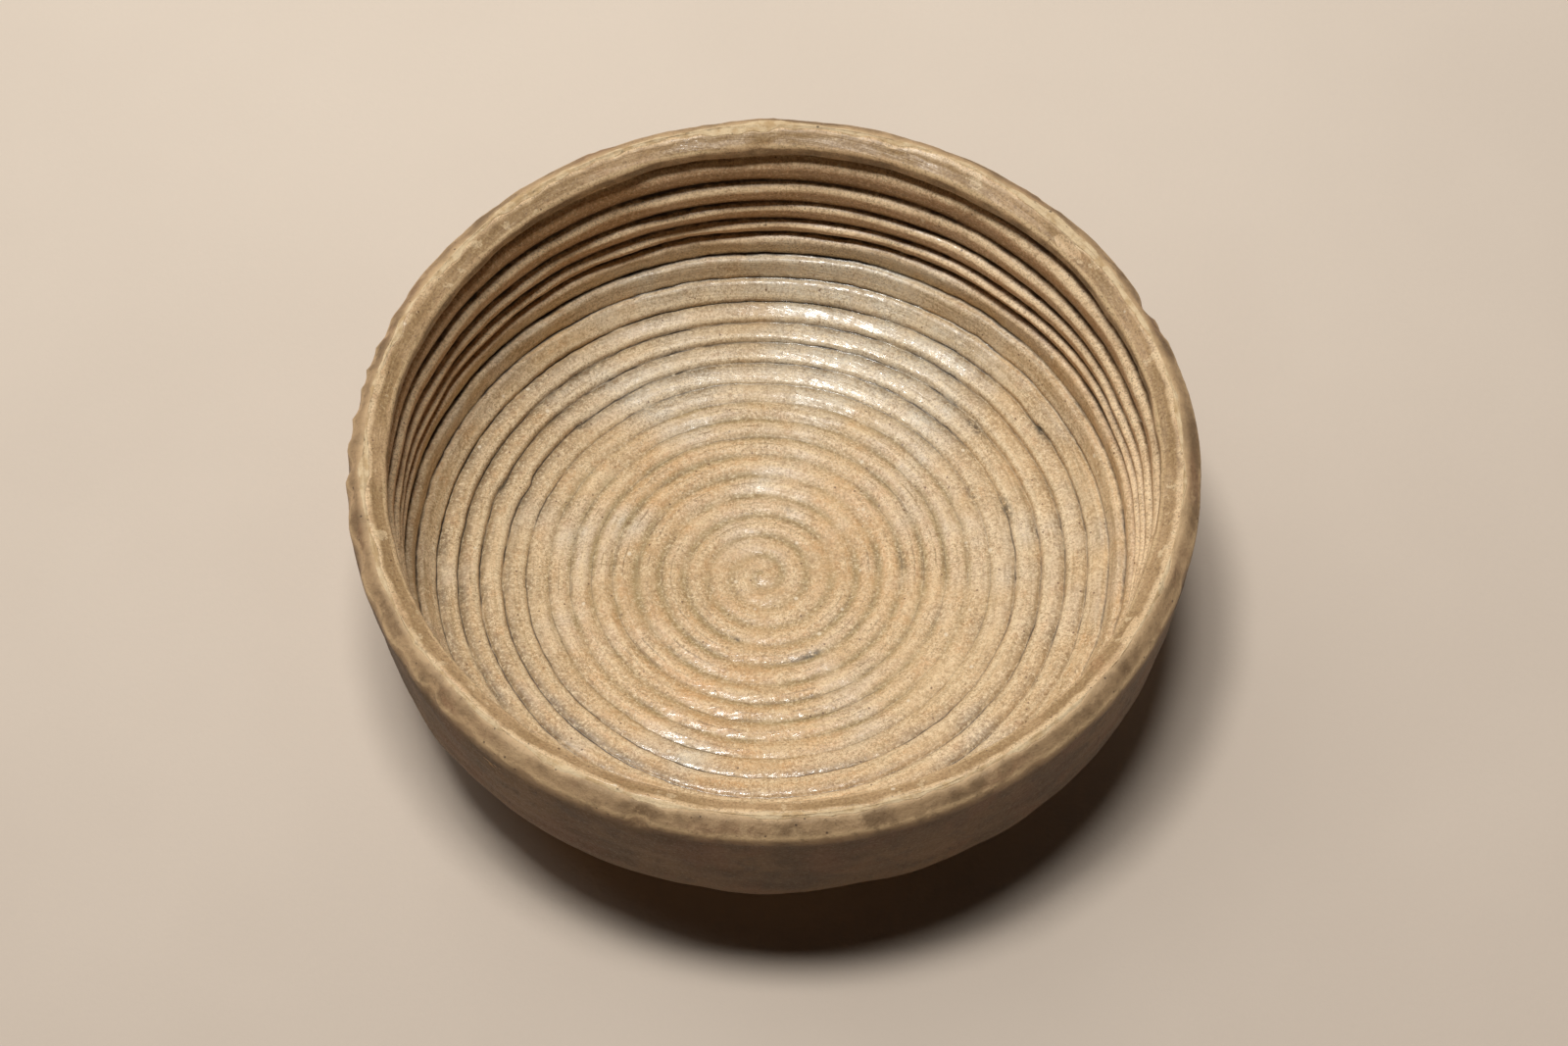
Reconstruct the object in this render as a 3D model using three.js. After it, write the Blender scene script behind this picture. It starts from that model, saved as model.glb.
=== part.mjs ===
// Proto-porcelain bowl: a thick stoneware bowl thrown in one piece, with the finger spiral
// left open inside, and a thin ash glaze melted over the inside and over the outside.
// Millimetres, +Z up. The origin is the centre of the flat base, and the front is -Y.
import * as THREE from "three";

// Outside
const SHOULDER_RADIUS = 60; // widest point, the edge below the rim, glaze included
const HEIGHT = 39; // base to the crest of the rim
const BASE_RADIUS = 41;
const BELLY_HEIGHT = 15.8; // the corner where the wall turns in to the base
const BELLY_INSET = 2.6; // that corner inside the shoulder
const BELLY_ROUND = 3.6; // length that the corner's rounding takes from each side

// Inside
const FLOOR_THICKNESS = 5.6; // clay under the centre of the floor
const FLOOR_RADIUS = 42; // where the floor turns up
const FLOOR_RISE = 3.1; // the floor's dish, centre to turn
const WALL_THICKNESS = 3.7; // at the foot of the inside wall
const WALL_FOOT = 20.5; // height at which the inside wall stands upright
const NECK_THICKNESS = 3.9; // in the groove under the lip

// Rim
const CREST_INSET = 2.4; // crest inside the shoulder
const SHOULDER_DROP = 2.7; // shoulder below the crest
const LIP_DEPTH = 4.8; // groove under the lip, below the crest
const LIP_EDGE_DROP = 2.2; // inner edge of the lip, below the crest
const LIP_OVERHANG = 1.1; // inner edge of the lip, inside its groove
const LIP_BLUNT = 0.9; // height of that edge's upright face
const LIP_HOLLOW = 0.25; // dip of the lip's inner face
const CREST_WORN = 0.8; // bare clay on each side of the crest

// Throwing spiral, one groove from the floor's centre to the lip
const PITCH = 3.4; // along the surface, one turn of the groove to the next
const LAST_PITCH = 7; // where the groove meets the neck
const WIDE_REACH = 66; // the turns widen beyond this distance from the centre
const SPIRAL_START = 72; // degrees
const RIDGE_CENTRE = 0.18; // ridge height at the centre
const RIDGE_MIDDLE = 0.4; // half way over the floor
const RIDGE_TURN = 1; // where the floor turns up
const RIDGE_WALL = 1.4; // on the wall
const SOFT_REACH = 33; // the ridges deepen beyond this distance from the centre
const WALL_REACH = 56; // the wall's ridges are at full depth from here on
const LEAN = 2.5; // degrees by which the floor falls towards the back
const OFF_CENTRE = 1.7; // the spiral's centre, to the left of the bowl's axis
const RUN_OUT = 1.7; // length over which the last ridge sinks into the neck

// Glaze
const GLAZE = 0.3; // thickness of both coats
const GLAZE_LINE = 9.5; // height of the outer coat's lower edge

// Facets
const FACET = 8.4; // length along a groove
const FEWEST_FACETS = 16; // in a turn
const FACET_STEP = 8; // by which a turn gains facets outwards
const RIM_FACETS = 40;
const BELLY_STEPS = 3; // strips round the belly's corner

// The lines that run along the spiral in each pitch: the sharp groove and the ridge's two
// shoulders. Each has its place in the pitch and its shares of the ridge's height, on the
// floor and on the wall, where the ridges hang over.
const LINES = [
  { place: 0, onFloor: 0, onWall: 0 },
  { place: 0.3, onFloor: 1, onWall: 0.65 },
  { place: 0.7, onFloor: 0.92, onWall: 1 },
];

const TURN = 2 * Math.PI;
const START = THREE.MathUtils.degToRad(SPIRAL_START);

// Corners of the clay in section: distance from the axis and height
const SHOULDER = new THREE.Vector2(SHOULDER_RADIUS - GLAZE, HEIGHT - SHOULDER_DROP);
const CREST = new THREE.Vector2(SHOULDER.x - CREST_INSET, HEIGHT);
const BELLY = new THREE.Vector2(SHOULDER.x - BELLY_INSET, BELLY_HEIGHT);
const BASE = new THREE.Vector2(BASE_RADIUS, 0);
const NECK = insideWall(HEIGHT - LIP_DEPTH, NECK_THICKNESS);

// A point at a height on the straight line between two others
function atHeight(height, a, b) {
  return a.clone().lerp(b, (height - a.y) / (b.y - a.y));
}

// A point of the inside wall, its thickness in from the outside
function insideWall(height, thickness) {
  return atHeight(height, SHOULDER, BELLY).sub(new THREE.Vector2(thickness, 0));
}

// Where two straight lines cross, each given by a point and a direction
function crossing(a, alongA, b, alongB) {
  const share = b.clone().sub(a).cross(alongB) / alongA.cross(alongB);
  return a.clone().addScaledVector(alongA, share);
}

// The groove bottoms in section, from the floor's centre to the neck under the lip
function insideOutline() {
  const turn = new THREE.Vector2(FLOOR_RADIUS, FLOOR_THICKNESS + FLOOR_RISE);
  const foot = insideWall(WALL_FOOT, WALL_THICKNESS);
  const floorSlope = new THREE.Vector2(FLOOR_RADIUS / 2, FLOOR_RISE);
  const corner = crossing(turn, floorSlope, foot, NECK.clone().sub(foot));
  const path = new THREE.Path();
  path.moveTo(0, FLOOR_THICKNESS);
  path.quadraticCurveTo(FLOOR_RADIUS / 2, FLOOR_THICKNESS, turn.x, turn.y);
  path.quadraticCurveTo(corner.x, corner.y, foot.x, foot.y);
  path.lineTo(NECK.x, NECK.y);
  return path;
}

const inside = insideOutline();
const REACH = inside.getLength();

// Turns of the groove from the centre to where it widens, and from there to the neck
const EVEN_TURNS = WIDE_REACH / PITCH;
const WIDE_TURNS = (2 * (REACH - WIDE_REACH)) / (PITCH + LAST_PITCH);

// Distance from the centre that the groove has reached after a number of turns
function groove(turns) {
  const widening = (LAST_PITCH - PITCH) / (2 * WIDE_TURNS);
  return PITCH * turns + widening * Math.max(0, turns - EVEN_TURNS) ** 2;
}

// Ridge height at a distance from the centre along the outline: soft on the floor, deeper on
// its turn and on the wall, and run out at the neck
function ridgeHeight(reached) {
  const { lerp, smoothstep } = THREE.MathUtils;
  const soft = lerp(RIDGE_CENTRE, RIDGE_MIDDLE, smoothstep(reached, 0, SOFT_REACH / 2));
  const turned = lerp(soft, RIDGE_TURN, smoothstep(reached, SOFT_REACH, FLOOR_RADIUS));
  const deep = lerp(turned, RIDGE_WALL, smoothstep(reached, FLOOR_RADIUS, WALL_REACH));
  return deep * smoothstep(REACH - reached, 0, RUN_OUT);
}

// A point of the inside, at a distance from the centre and an angle round the bowl
function insidePoint(reached, angle, { onFloor, onWall }) {
  const on = inside.getPoint(reached / REACH);
  const along = inside.getTangent(reached / REACH);
  const hang = THREE.MathUtils.smoothstep(reached, FLOOR_RADIUS, WALL_REACH);
  const lift = THREE.MathUtils.lerp(onFloor, onWall, hang) * ridgeHeight(reached);
  const radius = on.x - along.y * lift;
  const x = radius * Math.cos(angle) - OFF_CENTRE * (1 - (reached / REACH) ** 2);
  const y = radius * Math.sin(angle);
  const fall = Math.tan(THREE.MathUtils.degToRad(LEAN));
  const level = 1 - THREE.MathUtils.smoothstep(reached, FLOOR_RADIUS, REACH);
  return new THREE.Vector3(x, y, on.y + along.x * lift - fall * y * level);
}

// Points and the faces between them. A line is a list of points, each with its angle.
const points = [];
const faces = [];

function addPoint(point, angle) {
  points.push(point);
  return { index: points.length - 1, angle };
}

// Faces between two lines that run the same way round, the second further along the section
function join(near, far) {
  let i = 0;
  let j = 0;
  while (i < near.length - 1 || j < far.length - 1) {
    const nearAngle = i < near.length - 1 ? near[i + 1].angle : Infinity;
    const farAngle = j < far.length - 1 ? far[j + 1].angle : Infinity;
    const face = [near[i].index, far[j].index];
    if (farAngle <= nearAngle) {
      j += 1;
      face.push(far[j].index);
    } else {
      i += 1;
      face.push(near[i].index);
    }
    if (new Set(face).size === 3) faces.push(face);
  }
}

// A level ring round the axis, closed on its first point
const lastAngle = START + TURN * (EVEN_TURNS + WIDE_TURNS);
function ring(radius, height) {
  const line = [];
  for (let i = 0; i < RIM_FACETS; i++) {
    const angle = lastAngle + (TURN * i) / RIM_FACETS;
    line.push(addPoint(new THREE.Vector3(radius * Math.cos(angle), radius * Math.sin(angle), height), angle));
  }
  line.push({ index: line[0].index, angle: lastAngle + TURN });
  return line;
}

// The part of a closed ring between two angles, counted on from any turn
function arc(closedRing, from, to) {
  const first = Math.round(((from - lastAngle) / TURN) * RIM_FACETS);
  const count = Math.round(((to - from) / TURN) * RIM_FACETS);
  const line = [];
  for (let i = first; i <= first + count; i++) {
    const { index } = closedRing[THREE.MathUtils.euclideanModulo(i, RIM_FACETS)];
    line.push({ index, angle: lastAngle + (TURN * i) / RIM_FACETS });
  }
  return line;
}

// Angle that one facet spans at a distance from the centre
function facetAngle(reached) {
  const wanted = (TURN * inside.getPoint(reached / REACH).x) / FACET;
  const stepped = FACET_STEP * Math.ceil(wanted / FACET_STEP);
  return TURN / THREE.MathUtils.clamp(stepped, FEWEST_FACETS, RIM_FACETS);
}

// One line along the spiral, from the centre out to the neck
function spiralLine(spiral, centre, neckRing) {
  const first = START - TURN * spiral.place;
  const last = lastAngle - TURN * spiral.place;
  const reachedAt = (angle) => groove((angle - first) / TURN);
  const line = [{ index: centre.index, angle: first }];
  let angle = first + TURN / FEWEST_FACETS;
  let step = 0;
  do {
    step = facetAngle(reachedAt(angle));
    angle = step * Math.floor(angle / step + 1.001);
    line.push(addPoint(insidePoint(reachedAt(angle), angle, spiral), angle));
  } while (angle + 1.4 * step < last);
  line.push(...arc(neckRing, last, last));
  return line;
}

// The spiral floor and wall: strips between neighbouring lines, wound from the centre until
// each runs out on the neck
function windSpiral(neckRing) {
  const centre = addPoint(insidePoint(0, 0, LINES[1]), 0);
  const lines = LINES.map((line) => spiralLine(line, centre, neckRing));
  lines.push(lines[0].map(({ index, angle }) => ({ index, angle: angle - TURN })));
  for (let i = 0; i < LINES.length; i++) {
    const near = lines[i];
    const far = lines[i + 1];
    const end = far.at(-1).angle;
    join(near, [...far, ...arc(neckRing, end, near.at(-1).angle).slice(1)]);
  }
}

// The lip's blunt inner edge and hollow face, and the bare edges on each side of the crest
function rimSection() {
  const lipEdge = new THREE.Vector2(NECK.x - LIP_OVERHANG, HEIGHT - LIP_EDGE_DROP);
  const lipUnder = lipEdge.clone().sub(new THREE.Vector2(0, LIP_BLUNT));
  const face = CREST.clone().sub(lipEdge);
  const hollow = lipEdge.clone().addScaledVector(face, 0.5);
  hollow.add(new THREE.Vector2(face.y, -face.x).setLength(LIP_HOLLOW));
  const bareInside = CREST.clone().sub(face.setLength(CREST_WORN));
  const bareOutside = CREST.clone().add(SHOULDER.clone().sub(CREST).setLength(CREST_WORN));
  return { lipUnder, lipEdge, hollow, bareInside, bareOutside };
}

// The outside from the shoulder down to the base, in two runs that meet at the glaze line
function outsideSection() {
  const above = BELLY.clone().add(SHOULDER.clone().sub(BELLY).setLength(BELLY_ROUND));
  const below = BELLY.clone().add(BASE.clone().sub(BELLY).setLength(BELLY_ROUND));
  const round = new THREE.QuadraticBezierCurve(above, BELLY, below);
  const section = [SHOULDER, ...round.getPoints(BELLY_STEPS), BASE];
  const next = section.findIndex(({ y }) => y < GLAZE_LINE);
  const edge = atHeight(GLAZE_LINE, section[next - 1], section[next]);
  return { glazed: [...section.slice(0, next), edge], bare: section.slice(next) };
}

// Rings joined one to the next, from a ring already made
function sweep(from, section) {
  let near = from;
  for (const { x, y } of section) {
    const far = ring(x, y);
    join(near, far);
    near = far;
  }
  return near;
}

// The whole clay skin, in the order of its section. The faces under each coat are noted.
const rim = rimSection();
const outside = outsideSection();
const neckRing = ring(NECK.x, NECK.y);
windSpiral(neckRing);
const insideEdge = sweep(neckRing, [rim.lipUnder, rim.lipEdge, rim.hollow, rim.bareInside]);
const insideFaces = faces.slice();
const outsideEdge = sweep(insideEdge, [CREST, rim.bareOutside]);
const outsideStart = faces.length;
const glazeEdge = sweep(outsideEdge, outside.glazed);
const outsideFaces = faces.slice(outsideStart);
const baseRing = sweep(glazeEdge, outside.bare);
join(baseRing, [addPoint(new THREE.Vector3(0, 0, 0), lastAngle)]);

function geometryOf(corners, triangles) {
  const geometry = new THREE.BufferGeometry().setFromPoints(corners);
  geometry.setIndex(triangles.flat());
  geometry.computeVertexNormals();
  return geometry;
}

// A coat over some of the clay's faces: those faces turned over at the back, the same faces
// raised by the glaze's thickness in front, and a band round each open edge
function coatGeometry(under) {
  const normals = geometryOf(points, under).getAttribute("normal");
  const corners = [];
  const place = new Map();
  for (const index of new Set(under.flat())) {
    const normal = new THREE.Vector3().fromBufferAttribute(normals, index);
    place.set(index, corners.length);
    corners.push(points[index], points[index].clone().addScaledVector(normal, GLAZE));
  }
  const edges = new Map();
  const triangles = [];
  for (const face of under) {
    const [a, b, c] = face.map((index) => place.get(index));
    triangles.push([c, b, a], [a + 1, b + 1, c + 1]);
    for (const [from, to] of [[a, b], [b, c], [c, a]]) {
      if (!edges.delete(`${to} ${from}`)) edges.set(`${from} ${to}`, [from, to]);
    }
  }
  for (const [from, to] of edges.values()) {
    triangles.push([from, to, to + 1], [from, to + 1, from + 1]);
  }
  return geometryOf(corners, triangles);
}

const clay = new THREE.MeshStandardMaterial({ color: 0xa88f70, roughness: 0.85, metalness: 0 });
const paleAsh = new THREE.MeshStandardMaterial({ color: 0xb39c73, roughness: 0.4, metalness: 0 });
const brownAsh = new THREE.MeshStandardMaterial({ color: 0x8a7658, roughness: 0.6, metalness: 0 });

function part(name, geometry, material) {
  const mesh = new THREE.Mesh(geometry, material);
  mesh.name = name;
  return mesh;
}

const bowl = new THREE.Group();
bowl.add(part("stoneware_body", geometryOf(points, faces), clay));
bowl.add(part("inner_glaze", coatGeometry(insideFaces), paleAsh));
bowl.add(part("outer_glaze", coatGeometry(outsideFaces), brownAsh));

export default bowl;
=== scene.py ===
"""A shallow stoneware bowl with an open throwing spiral under a thin ash glaze.

Sizes are in millimetres until a mesh is made, and +Z is up. The front of the bowl is -Y.
"""
import math

import bpy
import numpy as np
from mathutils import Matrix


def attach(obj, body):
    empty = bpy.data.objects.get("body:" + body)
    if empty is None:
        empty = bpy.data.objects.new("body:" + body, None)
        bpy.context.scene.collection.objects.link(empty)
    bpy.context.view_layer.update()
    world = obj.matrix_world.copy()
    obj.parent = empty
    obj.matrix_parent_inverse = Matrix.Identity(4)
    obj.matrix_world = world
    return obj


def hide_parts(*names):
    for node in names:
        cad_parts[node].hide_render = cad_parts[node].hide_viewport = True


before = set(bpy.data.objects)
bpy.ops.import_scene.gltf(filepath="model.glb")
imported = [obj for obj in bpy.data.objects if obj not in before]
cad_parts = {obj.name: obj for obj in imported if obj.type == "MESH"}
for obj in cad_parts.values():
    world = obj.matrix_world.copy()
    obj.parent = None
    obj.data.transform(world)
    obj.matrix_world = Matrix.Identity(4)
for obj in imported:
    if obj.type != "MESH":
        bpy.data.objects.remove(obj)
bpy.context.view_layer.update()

TURN = 2 * math.pi
MM = 0.001

# The form, as the solids have it
SHOULDER_RADIUS = 60
HEIGHT = 39
BASE_RADIUS = 41
BELLY_HEIGHT = 15.8
BELLY_INSET = 2.6
BELLY_ROUND = 3.6
BASE_ROUND = 0.5
FLOOR_THICKNESS = 5.6
FLOOR_RADIUS = 42
FLOOR_RISE = 3.1
WALL_THICKNESS = 3.7
WALL_FOOT = 20.5
NECK_THICKNESS = 3.9
CREST_INSET = 2.4
SHOULDER_DROP = 2.7
RIM_SHARE = 0.05  # of the outside's wall, which is shaped with the rim
LIP_DEPTH = 4.8
LIP_EDGE_DROP = 2.2
LIP_OVERHANG = 1.1
LIP_BLUNT = 1.6  # a taller edge than the solids have
LIP_RAISED = 0.2
LIP_HOLLOW = 0.25
HOLLOW_WAY = (0.6, -0.8)
NECK_STEP = (0.1, 0.8)
CREST_WORN = 0.8
WORN_REACH = 1.1
PITCH = 3.4
LAST_PITCH = 7
WIDE_REACH = 66
SPIRAL_START = math.radians(72)
RIDGE_CENTRE = 0.18
RIDGE_MIDDLE = 0.4
RIDGE_TURN = 1
RIDGE_WALL = 1.4
SOFT_REACH = 33
WALL_REACH = 56
RUN_OUT = 1.7
LEAN = math.radians(2.5)
OFF_CENTRE = 1.7
GLAZE = 0.3
GLAZE_LINE = 9.5

# The solids' outermost facets, which the rounder visual surface keeps within
WIDEST = SHOULDER_RADIUS - 0.1

# How finely the surfaces are drawn
COLUMNS = 360
ANGLES = np.arange(COLUMNS) * TURN / COLUMNS
RIDGE_PLACES = (0, 0.035, 0.08, 0.15, 0.27, 0.42, 0.58, 0.73, 0.85, 0.94)
HIDDEN_PLACES = (0,)
KNOB = 0.3  # the raised point at the spiral's centre
KNOB_RADIUS = 1.3
HIDDEN_DEPTH = 0.55  # of the faces behind the glaze, under its front
RIM_STEP = 0.28
OUTSIDE_STEP = 0.55
CREST_STEP = 0.2
HEEL_STEP = 0.4
HIDDEN_STEP = 1.2
HIDDEN_RIM_STEP = 0.6
BASE_RINGS = 20
BASE_CENTRE = 1.5  # radius of the innermost ring of the base

# How far from a coat's edge its hidden faces end, the clay goes under it, and the bare clay begins
TUCKED, UNDER_EDGE, BARE_EDGE = 0.1, 0.12, 0.02

# The circles on which the uneven edges of the coats are drawn
CREST_RING = 57
FOOT_RING = 50

# The section of one ridge, groove to groove: crisp on the outer floor, a round cord on the wall
FLOOR_SECTION = (
    (0, 0), (0.03, 0.32), (0.08, 0.7), (0.15, 0.92), (0.25, 1), (0.4, 0.99),
    (0.55, 0.94), (0.7, 0.86), (0.82, 0.74), (0.9, 0.58), (0.96, 0.32), (1, 0),
)
WALL_SECTION = (
    (0, 0), (0.03, 0.08), (0.1, 0.22), (0.2, 0.42), (0.34, 0.64), (0.48, 0.82),
    (0.6, 0.93), (0.7, 0.98), (0.8, 1), (0.87, 0.95), (0.94, 0.6), (1, 0),
)

# How the turns drift as they climb, in mm: reach, all round, towards +X, towards the back
DRIFT = (
    (0, 0, 0, 0), (10, 0.3, 0.4, 0), (21, 0.5, 0, 0.1), (34, -0.4, 0, -0.2), (41, 0, 0.2, -0.4),
    (48, -0.1, 0.2, -0.3), (51, 0.3, 0, -0.4), (55, 0.4, 0.1, 0), (58, 0.9, 0, -0.2), (61, 0.2, 0.1, -0.3),
    (65, -0.2, 0.1, 0.2), (69, 0.3, 0, 0.2), (74, 0, 0, 0),
)

# How the groove strays from an even spiral: amount in pitches, wave length in mm, seed
WANDER = ((0.016, 28, 1), (0.011, 9, 2), (0.008, 3.4, 3), (0.007, 1.8, 8))

# How clear the rings of the middle are: reach, level
RING_LEVELS = ((0, 0.8), (5, 0.9), (12, 0.85), (18, 1), (25, 1.15), (28, 0.7), (33, 0.65), (37, 1))

# The second, fainter groove of the middle: place in the pitch, width and depth
SECOND_PLACE, SECOND_WIDTH, SECOND_DEPTH = 0.58, 0.06, 0.22

# Where a groove steps aside: reach along the surface, angle, step, length
JOGS = (
    (38.0, 156, -0.06, 1.2),
    (41.1, 161, 0.05, 1.0),
    (37.3, 137, 0.04, 1.6),
    (44.6, 205, -0.05, 1.4),
    (39.7, 38, 0.05, 1.2),
    (47.2, 30, -0.05, 1.4),
    (34.5, 96, 0.04, 2.2),
    (48.0, 331, 0.05, 1.6),
)

# Chips along the outer edge of the rim: angle, half width in degrees, depth
CHIPS = (
    (153, 1.5, 0.25), (158.5, 1.8, 0.35), (163, 1.4, 0.35), (166.5, 1.3, 0.5), (170.5, 1.9, 0.65),
    (175, 1.4, 0.45), (180.5, 1.5, 0.9), (186, 1.8, 0.45), (195, 2.4, 0.7), (204, 1.8, 0.4), (212, 1.8, 0.6),
    (218.5, 1.4, 0.8), (226, 1.8, 0.4), (236, 1.5, 0.3), (252.5, 1.2, 0.7), (26, 1.8, 0.8),
    (22, 1.2, 0.4), (48, 1.4, 0.25), (306, 1.4, 0.3), (342, 1.8, 0.35), (98, 1.4, 0.2),
)
CHIP_REACH = 1.7  # how far a chip runs either side of the edge

# The fine nicks between the chips: how many to a turn, where they are deepest, in degrees, and how deep
NICKS, NICKS_MIDDLE, NICKS_SPREAD, NICK_DEPTH = 92, 195, 0.7, 0.06

# Pale scabs and rubbed places on the rim: angle, place across it, half width in degrees, half width across
SCABS = (
    (40.5, 1.4, 3.0, 0.3), (43.5, 1.88, 2.2, 0.12), (91, 1.86, 9, 0.1), (103, 1.8, 3, 0.14),
    (72.5, 1.7, 1.6, 0.14), (181, 1.75, 3.4, 0.22), (176, 1.9, 2, 0.1), (187, 1.85, 2.4, 0.12),
    (270, 1.85, 12, 0.1), (292, 1.8, 4, 0.16), (246, 1.8, 3, 0.14), (330, 1.6, 2.6, 0.2),
)

# Where the crest is worn widest: angle, half width in degrees, strength
WORN = ((97, 24, 0.8), (42, 9, 0.8), (183, 4, 1.3), (150, 30, 0.35), (230, 25, 0.25), (285, 30, 0.5))

# Where the outside has slumped outwards: angle, half width in radians, depth
SLUMP_ANGLE, SLUMP_SPREAD, SLUMP = 232, 0.3, 0.45

# Runs of the outer glaze below its edge: angle, half width in degrees, fall
RUNS = ((35, 4, 1.6), (142, 5, 1.1), (218, 3, 1.9), (281, 4.5, 1.3), (330, 3, 0.9))

# Areas of the inner glaze: place across and back, radius, strength
WARM = ((14, 16, 12, 0.6), (-16, 20, 14, 0.9), (-12, -22, 20, 0.8), (18, 4, 14, 0.6), (4, -38, 16, 0.5))
# The glassy areas also set where a sheen is painted into the milky colour, mostly on the back floor
GLASSY_AND_SHEEN = ((10, 44, 23, 0.9), (12, 50, 16, 0.8), (34, 8, 16, 0.3), (-24, 34, 16, 0.35))
WET = ((-3, -30, 17, 0.9), (0, -2, 5, 0.9), (9, 46, 15, 1.2), (24, 34, 12, 0.6), (26, -20, 16, 0.35))

# Stains in the inner glaze: reach, angle, radius, strength
STAINS = (
    (47.0, 29.5, 0.55, 1.0), (39.6, 38.3, 0.6, 0.9), (37.0, 16, 0.7, 0.8), (33.2, 23, 0.7, 0.5),
    (15.7, 297, 0.5, 1.0), (15.4, 287, 0.5, 0.5), (37.3, 137.5, 0.4, 0.8), (41.2, 161, 0.6, 0.6),
    (11.8, 251.5, 0.3, 0.9), (21.3, 311.5, 0.25, 0.9), (12.2, 72, 0.4, 0.5), (20.5, 5, 0.8, 0.4),
)


def smoothstep(x, low, high):
    t = np.clip((x - low) / (high - low), 0, 1)
    return t * t * (3 - 2 * t)


def mix(a, b, share):
    return a + (b - a) * share


def bell(x):
    """1 where x is 0, falling to nothing on both sides."""
    return np.exp(-(x**2))


def apart(angle, middle):
    """The signed angle from middle, in radians; middle is in degrees."""
    return (angle - math.radians(middle) + math.pi) % TURN - math.pi


def waves(points, length, seed, count=14):
    """Smooth unevenness in space, of about unit size: plane waves near one length."""
    rng = np.random.default_rng(seed)
    directions = rng.normal(size=(count, 3))
    directions /= np.linalg.norm(directions, axis=1)[:, None]
    numbers = TURN / (length * rng.uniform(0.7, 1.5, count))
    phases = rng.uniform(0, TURN, count)
    total = sum(
        np.cos(points @ direction * number + phase)
        for direction, number, phase in zip(directions, numbers, phases)
    )
    return total * math.sqrt(2 / count)


def curve(start, middle, end, steps=240):
    """A quadratic curve as points."""
    t = np.linspace(0, 1, steps)[:, None]
    return (1 - t) ** 2 * np.array(start) + 2 * t * (1 - t) * np.array(middle) + t**2 * np.array(end)


def rounded(points, passes=2):
    """A run of points with its corners cut."""
    points = np.array(points, float)
    for _ in range(passes):
        near = mix(points[:-1], points[1:], 0.25)
        far = mix(points[:-1], points[1:], 0.75)
        inner = np.stack([near, far], 1).reshape(-1, 2)
        points = np.vstack([points[:1], inner, points[-1:]])
    return points


class Section:
    """Half the bowl's section as a path of (radius, height), followed by its length."""

    def __init__(self, *parts):
        points = np.vstack(parts)
        keep = np.r_[True, np.hypot(*np.diff(points, axis=0).T) > 1e-6]
        points = points[keep]
        self.lengths = np.r_[0, np.cumsum(np.hypot(*np.diff(points, axis=0).T))]
        self.points = points
        self.tangents = np.gradient(points, self.lengths, axis=0)
        self.reach = self.lengths[-1]

    def at(self, reached):
        """Radius, height and unit tangent at a length along the path."""
        values = [
            np.interp(reached, self.lengths, column)
            for column in (*self.points.T, *self.tangents.T)
        ]
        radius, height, across, up = values
        size = np.hypot(across, up)
        return radius, height, across / size, up / size


def at_height(height, a, b):
    """The point at a height on the line through a and b."""
    return a + (b - a) * (height - a[1]) / (b[1] - a[1])


shoulder = np.array([SHOULDER_RADIUS - GLAZE, HEIGHT - SHOULDER_DROP])
crest = np.array([shoulder[0] - CREST_INSET, HEIGHT])
belly = np.array([shoulder[0] - BELLY_INSET, BELLY_HEIGHT])
down = mix(shoulder, belly, RIM_SHARE)
base = np.array([BASE_RADIUS, 0])


def inside_wall(height, thickness):
    return at_height(height, shoulder, belly) - [thickness, 0]


neck = inside_wall(HEIGHT - LIP_DEPTH, NECK_THICKNESS)
lip = np.array([neck[0] - LIP_OVERHANG, HEIGHT - LIP_EDGE_DROP + LIP_RAISED])


def inside_section():
    """From the floor's centre to the groove under the lip."""
    turn = np.array([FLOOR_RADIUS, FLOOR_THICKNESS + FLOOR_RISE])
    foot = inside_wall(WALL_FOOT, WALL_THICKNESS)
    floor_slope = np.array([FLOOR_RADIUS / 2, FLOOR_RISE])
    wall_slope = neck - foot
    lines = np.stack([floor_slope, -wall_slope], 1)
    corner = turn + floor_slope * np.linalg.solve(lines, foot - turn)[0]
    return Section(
        curve((0, FLOOR_THICKNESS), (FLOOR_RADIUS / 2, FLOOR_THICKNESS), turn),
        curve(turn, corner, foot),
        np.linspace(foot, neck, 60),
    )


def rim_section():
    """From the groove under the lip over the crest to the shoulder, with its edges rounded."""
    hollow = (lip + crest) / 2 + np.array(HOLLOW_WAY) * LIP_HOLLOW
    below = neck + NECK_STEP
    under = lip - [0, LIP_BLUNT]
    lip_side = [neck, below, mix(below, under, 0.75), under, lip, mix(lip, hollow, 0.3), hollow]
    bevel = [crest, mix(crest, shoulder, 0.2), mix(crest, shoulder, 0.82), shoulder, down]
    return Section(rounded([*lip_side, mix(hollow, crest, 0.75), *bevel]))


def outside_section():
    """From just under the shoulder round the belly to the edge of the base."""
    wall, heel = (down - belly), (base - belly)
    before = belly + wall / np.linalg.norm(wall) * BELLY_ROUND
    after = belly + heel / np.linalg.norm(heel) * BELLY_ROUND
    last = base - heel / np.linalg.norm(heel) * BASE_ROUND
    return Section(
        np.linspace(down, before, 80),
        curve(before, belly, after, 60),
        np.linspace(after, last, 120),
        curve(last, base, base - [BASE_ROUND, 0], 12),
    )


INSIDE = inside_section()
RIM = rim_section()
OUTSIDE = outside_section()

# Lengths along the rim's section at the lip's edge and at the crest
LIP_REACH = RIM.lengths[np.argmin(np.hypot(*(RIM.points - lip).T))]
CREST_REACH = RIM.lengths[np.argmax(RIM.points[:, 1])]
EDGE_DROP = 1.1  # from the rim's outer edge down to where its section ends

# Turns of the groove from the centre to where it widens, and from there to the neck
EVEN_TURNS = WIDE_REACH / PITCH
WIDE_TURNS = 2 * (INSIDE.reach - WIDE_REACH) / (PITCH + LAST_PITCH)


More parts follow.
